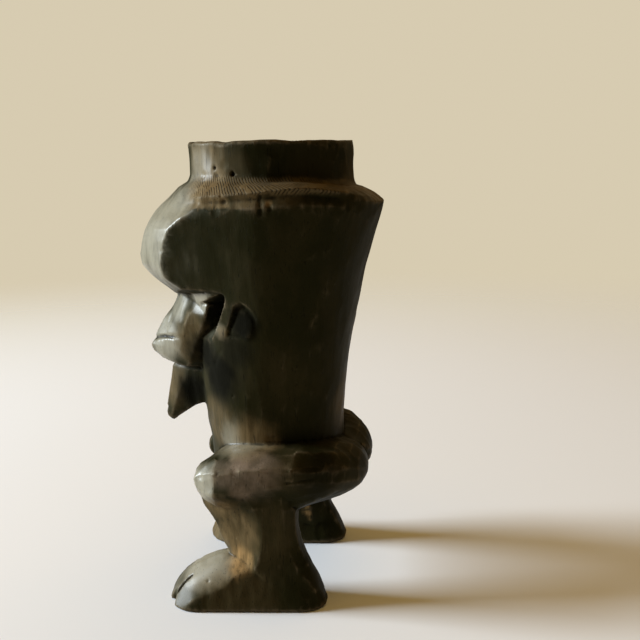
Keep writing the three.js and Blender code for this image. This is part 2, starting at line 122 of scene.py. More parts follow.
# Holes and bruises: place, radius, depth
pits = [
    {"at": (31.6, -17.8, 189.1), "radius": 1.0, "deep": 0.9},
    {"at": (35.1, -9.4, 186.6), "radius": 1.2, "deep": 1.5},
    {"at": (33.9, -13.0, 190.4), "radius": 2.4, "deep": 0.3},
    {"at": (35.4, 8.4, 195.6), "radius": 3.4, "deep": 0.6},
    {"at": (36.4, 19.9, 151.3), "radius": 0.7, "deep": 0.3},
    {"at": (29.2, 14.2, 97.5), "radius": 0.7, "deep": 0.4},
    {"at": (30.3, -13.8, 92.2), "radius": 0.7, "deep": 0.3},
    {"at": (43.5, -24.5, 11.9), "radius": 1.1, "deep": 0.35},
    {"at": (1.0, -54.6, 77.2), "radius": 1.8, "deep": 0.8},
    {"at": (-27.0, 24.6, 188.0), "radius": 1.0, "deep": 0.8},
    {"at": (-39.4, 15.0, 120.0), "radius": 0.9, "deep": 0.5},
    {"at": (-12.0, 45.6, 158.0), "radius": 1.1, "deep": 0.6},
]

edgeNicks = {"count": 90, "radius": (0.8, 2.4), "depth": (0.15, 0.5), "lowest": 2.0}

# How the chisel marks vary, and what keeps each of them on its own surface
chisel = {
    "sizeSpread": (0.65, 1.3),
    "depthSpread": (0.5, 1.25),
    "turn": 0.16,             # spread of the direction, in radians
    "leastAcross": 0.15,      # a mark that would run straight into the surface is left out
    "reach": 5.0,
    "facing": 0.55,           # cosine
}

# Slow waves of the hand-cut surface: how many are added, and what their sum is divided by to stay about 1
waves = {"count": 14, "divider": 5, "phases": 6.28}

# Where they lift and sink the surface: longest and shortest wave, height, seed
sways = [
    {"longest": 60, "shortest": 22, "height": 0.28, "seed": 3},
    {"longest": 16, "shortest": 8, "height": 0.07, "seed": 4},
]

# The rim is worn uneven: only its top sinks, by up to half a millimetre, in waves round the rim
rimWear = {
    "heights": (196.5, 199.6),
    "deep": 0.45,
    "most": 1.2,
    "level": 0.5,
    "long": ((3, 0.7), (5, -1.2)),        # waves round the rim and where they start, in radians
    "longShare": 0.5,
    "short": 17,
    "shortShare": 0.25,
}

# Regions as blocks: ranges of height z, of x either side of the middle plane, of y and of the radius
far, tiny = 999, 1e-6
blocks = {
    "bowl": {"radius": (0, 33.5), "z": (95.5, far)},
    "bowlMiddle": {"radius": (0, 20)},
    "brow": {"z": (-far, 140), "y": (-far, -26)},
    "eyeHollow": {"z": (111, 140), "x": (14, far), "radius": (0, 35.5), "y": (-far, 4)},
    "face": {"z": (70, 138), "x": (-1, 24), "y": (-far, -30)},
    "cheek": {"z": (102, 130), "x": (-1, 27), "y": (-far, -24.5)},
    "forehead": {"z": (132, 179)},
    "collar": {"z": (183.5, far)},
    "hairEdge": {"z": (171, 178.5)},
    "capBand": {"z": (178.5, 183.5)},
    "capSlope": {"z": (174, 186)},
    "side": {"z": (132, 171)},
    "trunk": {"z": (70, 132)},
    "lower": {"z": (-far, 72)},
    "trunkFoot": {"z": (50, 72)},
    "foot": {"z": (-far, 24), "radius": (15, far)},
    "leg": {"z": (20, 48), "x": (18, far), "y": (-24, 19)},
    "aboveShin": {"z": (37, far)},
    "thighOuter": {"radius": (32.4, far)},
    "thighBack": {"y": (20, far)},
    "thighLow": {"z": (-far, 50)},
    "sole": {"z": (-far, 1.5)},
    "hatched": {"z": (178.6, far), "radius": (36.5, far)},
    "underHair": {"z": (-far, 173)},
}

# The part of the normal that a region's surface has: outward, along y, and upward
facings = {"bowl": 0.1, "forehead": -0.5, "capSlope": 0.35, "footTop": 0.45}
hatchStart = (-34, -24)       # the hatching sets in between these places in y, behind the forehead


def deselectAll():
    bpy.ops.object.select_all(action="DESELECT")


def makeActive(piece):
    deselectAll()
    piece.select_set(True)
    bpy.context.view_layer.objects.active = piece


def applyModifier(piece, kind, **settings):
    makeActive(piece)
    modifier = piece.modifiers.new(kind.lower(), kind)
    for name, value in settings.items():
        setattr(modifier, name, value)
    bpy.ops.object.modifier_apply(modifier=modifier.name)


def copyOfNode(nodeName, pieceName):
    piece = bpy.data.objects.new(pieceName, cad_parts[nodeName].data.copy())
    bpy.context.scene.collection.objects.link(piece)
    piece.data.materials.clear()
    makeActive(piece)
    bpy.ops.object.mode_set(mode="EDIT")
    bpy.ops.mesh.select_all(action="SELECT")
    bpy.ops.mesh.remove_doubles(threshold=cup["mergeWithin"])
    bpy.ops.object.mode_set(mode="OBJECT")
    return piece


def readVectors(items, name):
    values = np.zeros(len(items) * 3)
    items.foreach_get(name, values)
    return values.reshape(-1, 3)


# Points in millimetres round the bowl's middle, as the dictionaries have them
def pointsOf(piece):
    return readVectors(piece.data.vertices, "co") * perMetre - (0, cup["bowlY"], 0)


def putPoints(piece, points):
    metres = (points + (0, cup["bowlY"], 0)) / perMetre
    piece.data.vertices.foreach_set("co", metres.ravel())
    piece.data.update()


def normalsOf(piece):
    return readVectors(piece.data.vertex_normals, "vector")


def edgesOf(piece):
    edges = np.zeros(len(piece.data.edges) * 2, dtype=np.int64)
    piece.data.edges.foreach_get("vertices", edges)
    return edges.reshape(-1, 2)


# Points along every edge that folds by more than the angle of its height
def foldMarks(piece):
    points = pointsOf(piece)
    beside = {}
    for face in piece.data.polygons:
        for key in face.edge_keys:
            beside.setdefault(key, []).append(face.normal)
    marks = []
    for (a, b), normals in beside.items():
        height = points[a][2]
        angle = cup["foldAngle"] if height > cup["hipHeight"] else cup["limbFoldAngle"]
        limit = math.cos(math.radians(angle if height > cup["ankleHeight"] else cup["footFoldAngle"]))
        if len(normals) == 2 and normals[0].dot(normals[1]) < limit:
            count = 1 + int(np.linalg.norm(points[b] - points[a]) / cup["foldStep"])
            share = np.linspace(0, 1, count + 1)[:, None]
            marks.append(points[a] * (1 - share) + points[b] * share)
    return np.concatenate(marks)


# 1 on a mark, falling to 0 at the reach
def nearMarks(points, marks, reach):
    tree = kdtree.KDTree(len(marks))
    for i, mark in enumerate(marks):
        tree.insert(mark, i)
    tree.balance()
    distance = np.array([tree.find(point)[2] for point in points])
    return np.clip(1 - distance / reach, 0, 1)


# Rubbing moves each point towards the middle of its neighbours, by its own strength
def rubbed(points, edges, passes, strength):
    a, b = edges[:, 0], edges[:, 1]
    total = len(points)
    count = np.maximum(np.bincount(a, minlength=total) + np.bincount(b, minlength=total), 1)
    strength = np.broadcast_to(strength, total)
    points = points.copy()
    for _ in range(passes):
        for k in range(points.shape[1]):
            summed = np.bincount(a, weights=points[b, k], minlength=total)
            summed += np.bincount(b, weights=points[a, k], minlength=total)
            points[:, k] += strength * (summed / count - points[:, k])
    return points


# Values on the points, made soft in the same way
def softened(values, edges, passes):
    return rubbed(values[:, None], edges, passes, cup["rubStrength"])[:, 0]


# Slow unevenness: a few long waves in random directions, added up to values mostly from -1 to 1
def unevenness(points, longest, shortest, seed):
    random = np.random.default_rng(seed)
    total = np.zeros(len(points))
    for _ in range(waves["count"]):
        way = random.normal(size=3)
        way *= 2 * math.pi / (random.uniform(shortest, longest) * np.linalg.norm(way))
        total += np.sin(points @ way + random.uniform(0, waves["phases"]))
    return total / waves["divider"]


def smoothStep(low, high, value):
    share = np.clip((value - low) / (high - low), 0, 1)
    return share * share * (3 - 2 * share)


# Which region of the figure each point belongs to
def regionsOf(points, normals):
    x, y, z = points.T
    radius = np.hypot(x, y)
    place = {"x": np.abs(x), "y": y, "z": z, "radius": radius}

    def within(name):
        tests = [(place[key] > low) & (place[key] < high) for key, (low, high) in blocks[name].items()]
        return np.all(tests, axis=0)

    outward = (normals[:, 0] * x + normals[:, 1] * y) / np.maximum(radius, tiny)
    inBowl = within("bowl") & ((outward < facings["bowl"]) | within("bowlMiddle")) & ~within("brow")
    outside = ~inBowl
    eyeHollow = outside & within("eyeHollow")
    face = outside & (within("face") | within("cheek"))
    head = outside & ~face & ~eyeHollow
    forehead = head & within("forehead") & (normals[:, 1] < facings["forehead"])
    capSlope = within("capSlope") & (normals[:, 2] > facings["capSlope"]) & ~forehead
    lower = outside & within("lower")
    foot = lower & within("foot")
    leg = lower & within("leg")
    thigh = lower & within("aboveShin") & ~leg & (within("thighOuter") | within("thighBack") | within("thighLow"))
    footTop = normals[:, 2] > facings["footTop"]
    return {
        "bowl": inBowl, "forehead": forehead, "face": face, "eyeHollow": eyeHollow,
        "side": head & within("side") & ~forehead,
        "collar": head & within("collar"),
        "hairEdge": head & within("hairEdge") & ~forehead,
        "cap": head & (within("capBand") | capSlope),
        "trunk": (head & within("trunk")) | (lower & within("trunkFoot") & ~thigh),
        "thigh": thigh, "leg": leg & ~foot,
        "footTop": foot & footTop, "footSide": foot & ~footTop & ~within("sole"),
        "hatched": within("hatched"), "underHair": within("underHair"),
    }


# Shallow scooped chisel marks, each deepest in its middle. Where they meet, the deeper one wins, which leaves
# ridges.
def chiselled(points, normals, regions, random):
    cut = np.zeros(len(points))
    order = np.argsort(points[:, 2])
    heights = points[order, 2]
    for name, marks in chiselMarks.items():
        members = np.flatnonzero(regions[name])
        for i in random.choice(members, marks["count"]):
            across = np.cross(normals[i], marks["run"])
            if np.linalg.norm(across) < chisel["leastAcross"]:
                continue
            across /= np.linalg.norm(across)
            along = np.cross(across, normals[i])
            turn = random.normal(0, chisel["turn"])
            straight, aside = along, across
            along = straight * math.cos(turn) + aside * math.sin(turn)
            across = aside * math.cos(turn) - straight * math.sin(turn)
            halfLong, halfWide = np.array(marks["half"]) * random.uniform(*chisel["sizeSpread"], 2)
            depth = marks["depth"] * random.uniform(*chisel["depthSpread"])
            low, high = np.searchsorted(heights, (points[i, 2] - halfLong, points[i, 2] + halfLong))
            near = order[low:high]
            offset = points[near] - points[i]
            profile = 1 - (offset @ along / halfLong) ** 2 - (offset @ across / halfWide) ** 2
            close = (profile > 0) & (np.abs(offset @ normals[i]) < chisel["reach"])
            close &= normals[near] @ normals[i] > chisel["facing"]
            near = near[close]
            cut[near] = np.maximum(cut[near], depth * profile[close])
    return cut


# The figure's left is 1 and its right -1
def sidesOf(mark):
    return (1, -1) if mark["both"] else (1,)


# Distance of each point from a line through several points
def fromLine(points, line):
    line = np.array(line, dtype=float)
    nearest = np.full(len(points), np.inf)
    for start, end in zip(line[:-1], line[1:]):
        way = end - start
        share = np.clip((points - start) @ way / (way @ way), 0, 1)
        nearest = np.minimum(nearest, np.linalg.norm(points - start - share[:, None] * way, axis=1))
    return nearest


carved = copyOfNode("figural_cup", "figuralCupCarved")
folds = foldMarks(carved)
applyModifier(carved, "REMESH", mode="VOXEL", voxel_size=cup["voxel"] / perMetre, adaptivity=0.0)
print("block skinned:", len(carved.data.vertices), "points", len(folds), "fold marks")

edges = edgesOf(carved)
shape = pointsOf(carved)
offEdge = 1 - smoothStep(0.0, cup["edgeKept"], nearMarks(shape, folds, cup["foldReach"]))
offSole = smoothStep(*cup["soleKept"], shape[:, 2])
shape = rubbed(shape, edges, cup["rubFaces"], cup["rubStrength"] * offEdge * offSole)
shape = rubbed(shape, edges, cup["rubEdges"], cup["rubStrength"] * offSole)
putPoints(carved, shape)
print("faces rubbed smooth")

random = np.random.default_rng(cup["seed"])
normals = normalsOf(carved)
for cut in flatCuts:
    for side in (1, -1):
        middle, facing = np.array(cut["at"]) * (side, 1, 1), np.array(cut["faces"]) * (side, 1, 1)
        facing /= np.linalg.norm(facing)
        near = (np.linalg.norm(shape - middle, axis=1) < cut["wide"]) & (normals @ facing > flatCutFacing)
        top = np.max((shape[near] - middle) @ facing)
        above = (shape @ facing) - (middle @ facing + top - cut["deep"])
        shape = shape - facing * (np.clip(above, 0, None) * near * offSole)[:, None]
putPoints(carved, shape)
normals = normalsOf(carved)
regions = regionsOf(shape, normals)
shape = shape - normals * (chiselled(shape, normals, regions, random) * offSole)[:, None]
lift = sum(unevenness(shape, sway["longest"], sway["shortest"], sway["seed"]) * sway["height"] for sway in sways)
shape = shape + normals * (lift * offSole)[:, None]

bearing = np.arctan2(shape[:, 0], -shape[:, 1])
longWave = np.prod([np.sin(count * bearing + start) for count, start in rimWear["long"]], axis=0)
rimWave = rimWear["level"] + rimWear["longShare"] * longWave
rimWave += rimWear["shortShare"] * np.sin(rimWear["short"] * bearing)
sunk = rimWear["deep"] * np.clip(rimWave, 0, rimWear["most"])
shape[:, 2] -= smoothStep(*rimWear["heights"], shape[:, 2]) * sunk

for cutMark in knifeCuts:
    for side in sidesOf(cutMark):
        distance = fromLine(shape, np.array(cutMark["line"]) * (side, 1, 1))
        shape = shape - normals * (cutMark["deep"] * np.clip(1 - distance / cutMark["wide"], 0, 1))[:, None]

for pit in pits:
    distance = np.linalg.norm(shape - pit["at"], axis=1)
    shape = shape - normals * (pit["deep"] * np.clip(1 - (distance / pit["radius"]) ** 2, 0, 1))[:, None]

for mark in folds[random.choice(len(folds), edgeNicks["count"])]:
    if mark[2] < edgeNicks["lowest"]:
        continue
    distance = np.linalg.norm(shape - mark, axis=1)
    radius, depth = random.uniform(*edgeNicks["radius"]), random.uniform(*edgeNicks["depth"])
    shape = shape - normals * (depth * np.clip(1 - (distance / radius) ** 2, 0, 1))[:, None]

putPoints(carved, shape)
print("chisel and knife marks cut:", len(shape), "points")

triangles = 2 * len(carved.data.polygons)
if triangles > cup["mostTriangles"]:
    applyModifier(carved, "DECIMATE", ratio=cup["mostTriangles"] / triangles, use_collapse_triangulate=True)
lowest, highest = np.array(cadBox) * perMetre - (0, cup["bowlY"], 0)
putPoints(carved, np.clip(pointsOf(carved), lowest + cup["boxInset"], highest - cup["boxInset"]))
print("mesh thinned to", len(carved.data.polygons), "faces")


# The wood reads these masks: worn edges, grime in hollows, painted shade where the carving hides the sky, the old
# cup's stains with painted shadow spots, and a gloss coat with a painted pale sheen
masks = {
    "worn": (0.08, 0.34),         # how far a point stands out from the form around it
    "grime": (0.05, 0.36),        # how far it lies in
    # painted shade: how much of the sky a point misses sets how dark it is painted
    "paintedOcclusionShade": (0.08, 0.5),
    "broadPasses": 12,
    "shelterReach": 32,
    "shelterRays": 10,
    "shelterPasses": 6,
    "shelterSeed": 5,
    "rayStart": 0.3,
    "rayLift": 1.02,              # of the normal, which keeps every ray outside the wood
    "polishFacing": (0.2, 0.5),   # the gloss coat and the pale painted sheen go only on what faces ahead or up, towards the window and ceiling lamps
    "spotCore": 0.35,             # share of a spot's spread that has its full strength
    "spotWaver": 0.09,
    "waver": {"longest": 14, "shortest": 4, "seed": 11},
    "facingPasses": 4,
    "hatchPasses": 3,
    "cutDirtAndShade": (0.3, 1.2),
}


def storeMask(name, values):
    mask = carved.data.attributes.new(name, "FLOAT", "POINT")
    mask.data.foreach_set("value", np.clip(values, 0, 1).astype(np.float32))


# How much of the sky each point misses because other parts of the carving stand before it, from 0 to 1
def shelterOf(piece, points, normals):
    tree = BVHTree.FromPolygons(points.tolist(), [face.vertices[:] for face in piece.data.polygons])
    random = np.random.default_rng(masks["shelterSeed"])
    reach = masks["shelterReach"]
    blocked = np.zeros(len(points))
    starts = points + normals * masks["rayStart"]
    for _ in range(masks["shelterRays"]):
        ways = random.normal(size=(len(points), 3))
        ways = ways / np.linalg.norm(ways, axis=1)[:, None] + normals * masks["rayLift"]
        hits = [tree.ray_cast(start, way, reach)[3] for start, way in zip(starts.tolist(), ways.tolist())]
        blocked += [0.0 if distance is None else 1 - distance / reach for distance in hits]
    return blocked / masks["shelterRays"]


# Each spot: where, how far it spreads, how strong. Those marked both are on the other side as well.
stains = {
    "tan": [
        {"at": (40.5, -10.5, 20.5), "spread": 8.5, "share": 1.0, "both": False},
        {"at": (-22.8, 8.4, 20.0), "spread": 2.2, "share": 0.8, "both": False},
        {"at": (-22.8, 8.8, 16.0), "spread": 2.4, "share": 0.9, "both": False},
        {"at": (-22.6, 9.0, 12.0), "spread": 2.0, "share": 0.8, "both": False},
        {"at": (-40.5, -10.5, 20.5), "spread": 7.0, "share": 0.6, "both": False},
        {"at": (43.3, 7.0, 175.5), "spread": 2.4, "share": 0.8, "both": False},
    ],
    "purple": [
        {"at": (46.0, -4.0, 63.0), "spread": 16.0, "share": 1.0, "both": True},
        {"at": (45.0, -16.0, 62.0), "spread": 9.0, "share": 0.8, "both": True},
        {"at": (33.5, -9.0, 132.5), "spread": 3.5, "share": 0.2, "both": True},
    ],
    "brown": [
        {"at": (24.0, -22.0, 77.0), "spread": 17.0, "share": 0.5, "both": True},
        {"at": (40.0, -12.0, 33.0), "spread": 15.0, "share": 0.95, "both": True},
        {"at": (38.0, -19.0, 46.0), "spread": 12.0, "share": 0.95, "both": True},
        {"at": (43.0, 2.0, 36.0), "spread": 20.0, "share": 0.2, "both": True},
        {"at": (46.0, -10.0, 6.0), "spread": 24.0, "share": 0.22, "both": True},
        {"at": (32.0, 8.0, 98.0), "spread": 26.0, "share": 0.06, "both": True},
        {"at": (36.0, -24.0, 16.0), "spread": 17.0, "share": 0.9, "both": False},
        {"at": (-33.0, -34.0, 8.0), "spread": 24.0, "share": 0.8, "both": False},
        {"at": (31.5, -17.5, 120.5), "spread": 4.0, "share": 0.8, "both": True},
        {"at": (35.0, -10.0, 190.0), "spread": 10.0, "share": 0.15, "both": True},
        {"at": (38.5, -19.0, 176.0), "spread": 14.0, "share": 1.0, "both": True},
        {"at": (32.0, -22.0, 182.0), "spread": 16.0, "share": 1.0, "both": True},
        {"at": (42.0, -2.0, 177.5), "spread": 10.0, "share": 0.7, "both": True},
        {"at": (41.0, 12.0, 179.0), "spread": 9.0, "share": 0.4, "both": True},
        {"at": (28.0, -23.0, 191.0), "spread": 17.0, "share": 0.7, "both": True},
        {"at": (21.6, -33.0, 121.4), "spread": 9.0, "share": 0.45, "both": True},
        {"at": (16.0, -38.0, 113.0), "spread": 12.0, "share": 0.5, "both": True},
        {"at": (28.0, -30.0, 134.0), "spread": 8.0, "share": 0.8, "both": True},
        {"at": (5.0, -50.0, 90.0), "spread": 14.0, "share": 0.5, "both": True},
        {"at": (30.0, -6.0, 71.0), "spread": 16.0, "share": 1.0, "both": True},
        {"at": (45.0, 14.0, 62.0), "spread": 14.0, "share": 0.1, "both": True},
        {"at": (0.0, 46.0, 176.0), "spread": 26.0, "share": 0.5, "both": False},
        {"at": (0.0, 30.0, 84.0), "spread": 18.0, "share": 0.5, "both": False},
    ],
    # Painted shadow and shade: dark spots where the nose and jaw shadow the trunk, on the jaw's shaded side, in
    # the eye hollow beside the nose, and low at the back of the thigh
    "sootAndPaintedShade": [
        {"at": (28.0, -22.0, 100.0), "spread": 17.0, "share": 1.0, "both": True},
        {"at": (23.0, -29.0, 108.0), "spread": 13.0, "share": 1.0, "both": True},
        {"at": (10.0, -40.0, 88.0), "spread": 13.0, "share": 1.0, "both": True},
        {"at": (33.0, -12.0, 112.0), "spread": 12.0, "share": 0.7, "both": True},
        {"at": (34.5, -7.0, 124.5), "spread": 10.0, "share": 1.0, "both": True},
        {"at": (40.0, 26.0, 60.0), "spread": 15.0, "share": 0.5, "both": True},
    ],
    # A gloss coat, and with it a painted pale sheen, on the forehead, face, knees, feet, collar and trunk
    "polishAndPaintedSheen": [
        {"at": (0.0, -58.0, 156.0), "spread": 38.0, "share": 1.0, "both": False},
        {"at": (24.0, -42.0, 160.0), "spread": 30.0, "share": 1.0, "both": True},
        {"at": (25.0, -28.0, 134.0), "spread": 10.0, "share": 1.0, "both": True},
        {"at": (7.0, -51.0, 112.0), "spread": 18.0, "share": 0.8, "both": True},
        {"at": (9.0, -42.0, 128.0), "spread": 12.0, "share": 0.75, "both": True},
        {"at": (31.0, -18.5, 121.0), "spread": 5.0, "share": 0.25, "both": True},
        {"at": (42.0, -27.0, 56.0), "spread": 13.0, "share": 1.0, "both": True},
        {"at": (35.5, -27.0, 15.0), "spread": 16.0, "share": 0.85, "both": False},
        {"at": (42.0, -37.0, 6.0), "spread": 14.0, "share": 0.22, "both": False},
        {"at": (26.0, -26.0, 189.0), "spread": 13.0, "share": 0.4, "both": True},
        {"at": (29.0, -10.0, 71.0), "spread": 15.0, "share": 0.65, "both": True},
        {"at": (24.0, -32.0, 181.0), "spread": 12.0, "share": 0.4, "both": True},
    ],
}

edges = edgesOf(carved)
shape = pointsOf(carved)
normals = normalsOf(carved)
regions = regionsOf(shape, normals)
broad = rubbed(shape, edges, masks["broadPasses"], cup["rubStrength"])
bulge = np.einsum("ij,ij->i", shape - broad, normals)
storeMask("worn", smoothStep(*masks["worn"], bulge))
storeMask("grime", smoothStep(*masks["grime"], -bulge))
# Painted shade: the wood is darkened where other parts of the carving hide the sky from a point
paintedOcclusionShade = softened(shelterOf(carved, shape, normals), edges, masks["shelterPasses"])
storeMask("paintedOcclusionShade", smoothStep(*masks["paintedOcclusionShade"], paintedOcclusionShade))
print("shelter found")
underHair = regions["side"] | (regions["hairEdge"] & regions["underHair"])
aheadOrUp = softened(np.maximum(-normals[:, 1], normals[:, 2]), edges, masks["facingPasses"])
waver = unevenness(shape, **masks["waver"]) * masks["spotWaver"]
for name, spots in stains.items():
    amount = np.zeros(len(shape))
    for spot in spots:
        for side in sidesOf(spot):
            distance = np.linalg.norm(shape - np.array(spot["at"]) * (side, 1, 1), axis=1) / spot["spread"] + waver
            amount = np.maximum(amount, spot["share"] * (1 - smoothStep(masks["spotCore"], 1.0, distance)))
    # The gloss coat and its painted sheen are kept to what faces the window ahead or the ceiling lamp above
    if name == "polishAndPaintedSheen":
        amount *= smoothStep(*masks["polishFacing"], aheadOrUp)
    if name == "brown":
        amount[underHair] = 0
    # The knife cuts add grime and painted shade along their grooves
    if name == "sootAndPaintedShade":
        for cutMark in knifeCuts:
            for side in sidesOf(cutMark):
                distance = fromLine(shape, np.array(cutMark["line"]) * (side, 1, 1))
                amount = np.maximum(amount, cutMark["dirtAndShade"] * (1 - smoothStep(*masks["cutDirtAndShade"], distance)))
    storeMask(name, amount)
hatched = (regions["cap"] & regions["hatched"]) * smoothStep(*hatchStart, shape[:, 1])
storeMask("hatch", softened(hatched, edges, masks["hatchPasses"]))
print("masks stored")


wood = {
    "dark": (0.0105, 0.0097, 0.0024),
    "deepBrown": (0.019, 0.0155, 0.0052),
    "brown": (0.150, 0.100, 0.045),
    "purple": (0.19, 0.138, 0.095),
    "tan": (0.31, 0.185, 0.073),
    "worn": (0.110, 0.082, 0.048),
    # the sooty black of real grime, also laid on as painted shade and shadow
    "sootAndPaintedShade": (0.0018, 0.0016, 0.0007),
    # painted sheen: the pale colour laid where the lamps' highlights fall, on pale worn patina
    "pale": (0.225, 0.20, 0.135),
    "bowl": (0.020, 0.013, 0.008),
    "roughness": (0.46, 0.62),
    "rougher": {"grime": 0.25, "paintedOcclusionShade": 0.15, "sootAndPaintedShade": 0.4},
    "specular": 0.07,
    "specularTint": (1.0, 0.92, 0.45, 1.0),
    "polishAndPaintedSheen": 1.0,
    "polishRoughness": 0.38,
    "baseBlotches": (0.40, 0.62),
    "polishBlotches": (0.3, 0.6, 0.65, 1.0),
    "roughBlotches": (0.3, 0.7),
    "poreSteps": (0.66, 0.74),
    "streakHeight": 0.6,
    "fineHeight": 0.4,
    "poreHeight": 0.5,
    "grainDepth": 0.00012,    # in metres, as the hatching's
    "hatchDepth": 0.0004,
    "hatchPitch": 1.3,        # millimetres along the ring
    "hatchSlant": 0.95,
    "hatchRadius": 41,        # of the ring, in millimetres
    "hatchWander": 1.6,       # in millimetres
    "fullTurn": 6.2832,
    "strokeSteps": (0.0, 0.85),
    "gapSteps": (0.36, 0.5),
    "hatchStroke": 0.65,      # how dark the strokes are
    "hatchTint": 0.5,         # how brown the wood between them is
}

# Noises of the grain, from place times stretch. The small last stretch draws them out up the block.
grain = {
    "streaks": {"stretch": (1, 1, 0.07), "scale": 520, "detail": 4, "rough": 0.6},
    "fine": {"stretch": (1, 1, 0.10), "scale": 1500, "detail": 2, "rough": 0.5},
    "blotches": {"stretch": (1, 1, 0.6), "scale": 60, "detail": 5, "rough": 0.62},
    "pores": {"stretch": (1, 1, 0.05), "scale": 2100, "detail": 1, "rough": 0.5},
    "wander": {"stretch": (1, 1, 1), "scale": 160, "detail": 2, "rough": 0.5},
    "gaps": {"stretch": (1, 1, 1), "scale": 240, "detail": 1, "rough": 0.5},
}

# Colours laid over the wood one after the other. Each shows where its mask is, at most by its share, and more or
# less with the streaks and blotches: from a value to a value of theirs, from a share to a share.
layers = [
    # painted shade where the carving hides the sky
    {"mask": "paintedOcclusionShade", "colour": "sootAndPaintedShade", "share": 0.75},
    {"mask": "purple", "colour": "purple", "blotches": (0.35, 0.6, 0.4, 1.0)},
    {"mask": "brown", "colour": "brown", "streaks": (0.32, 0.62, 0.65, 1.0), "blotches": (0.3, 0.55, 0.6, 1.0)},
    {"mask": "worn", "colour": "worn", "streaks": (0.3, 0.65, 0.3, 0.9)},
    {"mask": "tan", "colour": "tan", "streaks": (0.35, 0.62, 0.5, 1.0)},
    # painted pale sheen, laid with the gloss coat
    {"mask": "polishAndPaintedSheen", "colour": "pale"},
    # painted shadow spots, with grime and painted shade along the knife cuts
    {"mask": "sootAndPaintedShade", "colour": "sootAndPaintedShade"},
    {"mask": "grime", "colour": "sootAndPaintedShade", "share": 0.8},
    {"mask": "pores", "colour": "sootAndPaintedShade", "share": 0.7},
]


def newGroup(name, inputs, outputs):
    group = bpy.data.node_groups.new(name, "ShaderNodeTree")
    for socket, kind, value in inputs:
        made = group.interface.new_socket(name=socket, in_out="INPUT", socket_type="NodeSocket" + kind)
        made.default_value = value
    for socket, kind in outputs:
        group.interface.new_socket(name=socket, in_out="OUTPUT", socket_type="NodeSocket" + kind)
    return group, group.nodes.new("NodeGroupInput"), group.nodes.new("NodeGroupOutput")


def addNode(tree, kind, **settings):
    node = tree.nodes.new("ShaderNode" + kind)
    for name, value in settings.items():
        setattr(node, name, value)
    return node


def feed(tree, node, socket, value):
    if isinstance(value, bpy.types.NodeSocket):
        tree.links.new(value, node.inputs[socket])
    else:
        node.inputs[socket].default_value = value


def calculated(tree, operation, a, b=0.0, clamp=False):
    node = addNode(tree, "Math", operation=operation, use_clamp=clamp)
    feed(tree, node, 0, a)
    feed(tree, node, 1, b)
    return node.outputs[0]


def times(tree, *values):
    product = values[0]
    for value in values[1:]:
        product = calculated(tree, "MULTIPLY", product, value)
    return product


def mixColour(tree, share, a, b):
    node = addNode(tree, "Mix", data_type="RGBA")
    feed(tree, node, 0, share)
    for socket, value in ((6, a), (7, b)):
        feed(tree, node, socket, (*value, 1.0) if isinstance(value, tuple) and len(value) == 3 else value)
    return node.outputs[2]


def scaledNoise(tree, place, stretch, scale, detail, rough):
    mapping = addNode(tree, "Mapping")
    feed(tree, mapping, "Vector", place)
    mapping.inputs["Scale"].default_value = stretch
    noise = addNode(tree, "TexNoise")
    feed(tree, noise, "Vector", mapping.outputs[0])
    noise.inputs["Scale"].default_value = scale
    noise.inputs["Detail"].default_value = detail
    noise.inputs["Roughness"].default_value = rough
    return noise.outputs["Fac"]


def stepped(tree, value, low, high, start=0.0, end=1.0):
    node = addNode(tree, "MapRange", interpolation_type="SMOOTHSTEP")
    feed(tree, node, "Value", value)
    for socket, number in (("From Min", low), ("From Max", high), ("To Min", start), ("To Max", end)):
        node.inputs[socket].default_value = number
    return node.outputs[0]


# Grain of the wood: streaks up the block, pores and blotches, as masks and one height
def makeGrainGroup():
    group, _, out = newGroup("woodGrain", [], [
        ("Streaks", "Float"), ("Blotches", "Float"), ("Pores", "Float"), ("Height", "Float")])
    place = addNode(group, "TexCoord").outputs["Object"]
    streaks = scaledNoise(group, place, **grain["streaks"])
    fine = scaledNoise(group, place, **grain["fine"])
    blotches = scaledNoise(group, place, **grain["blotches"])
    pores = stepped(group, scaledNoise(group, place, **grain["pores"]), *wood["poreSteps"])
    height = times(group, streaks, wood["streakHeight"])
    height = calculated(group, "ADD", height, times(group, fine, wood["fineHeight"]))
    height = calculated(group, "SUBTRACT", height, times(group, pores, wood["poreHeight"]))
    for socket, value in (("Streaks", streaks), ("Blotches", blotches), ("Pores", pores), ("Height", height)):
        group.links.new(value, out.inputs[socket])
    return group


# Oblique strokes cut side by side round the cap, each a little uneven
def makeHatchGroup():
    group, given, out = newGroup(
        "hatchStrokes", [("Pitch", "Float", wood["hatchPitch"]), ("Slant", "Float", wood["hatchSlant"])],
        [("Stroke", "Float"), ("Height", "Float")])
    place = addNode(group, "TexCoord").outputs["Object"]
    parts = addNode(group, "SeparateXYZ")
    feed(group, parts, 0, place)
    x = times(group, parts.outputs[0], perMetre)
    y = calculated(group, "SUBTRACT", times(group, parts.outputs[1], perMetre), cup["bowlY"])
    radius = calculated(group, "SQRT", calculated(group, "ADD", times(group, x, x), times(group, y, y)))
    angle = calculated(group, "ARCTAN2", x, times(group, y, -1))
    along = times(group, angle, wood["hatchRadius"])
    slanted = calculated(group, "SUBTRACT", along, times(group, radius, given.outputs["Slant"]))
    wander = scaledNoise(group, place, **grain["wander"])
    slanted = calculated(group, "ADD", slanted, times(group, wander, wood["hatchWander"]))
    strokes = calculated(group, "DIVIDE", slanted, given.outputs["Pitch"])
    wave = calculated(group, "SINE", times(group, strokes, wood["fullTurn"]))
    stroke = stepped(group, wave, *wood["strokeSteps"])
    gaps = scaledNoise(group, place, **grain["gaps"])
    stroke = times(group, stroke, stepped(group, gaps, *wood["gapSteps"]))
    group.links.new(stroke, out.inputs["Stroke"])
    group.links.new(times(group, stroke, -1), out.inputs["Height"])
    return group


def maskOf(tree, name):
    return addNode(tree, "Attribute", attribute_type="GEOMETRY", attribute_name=name).outputs["Fac"]


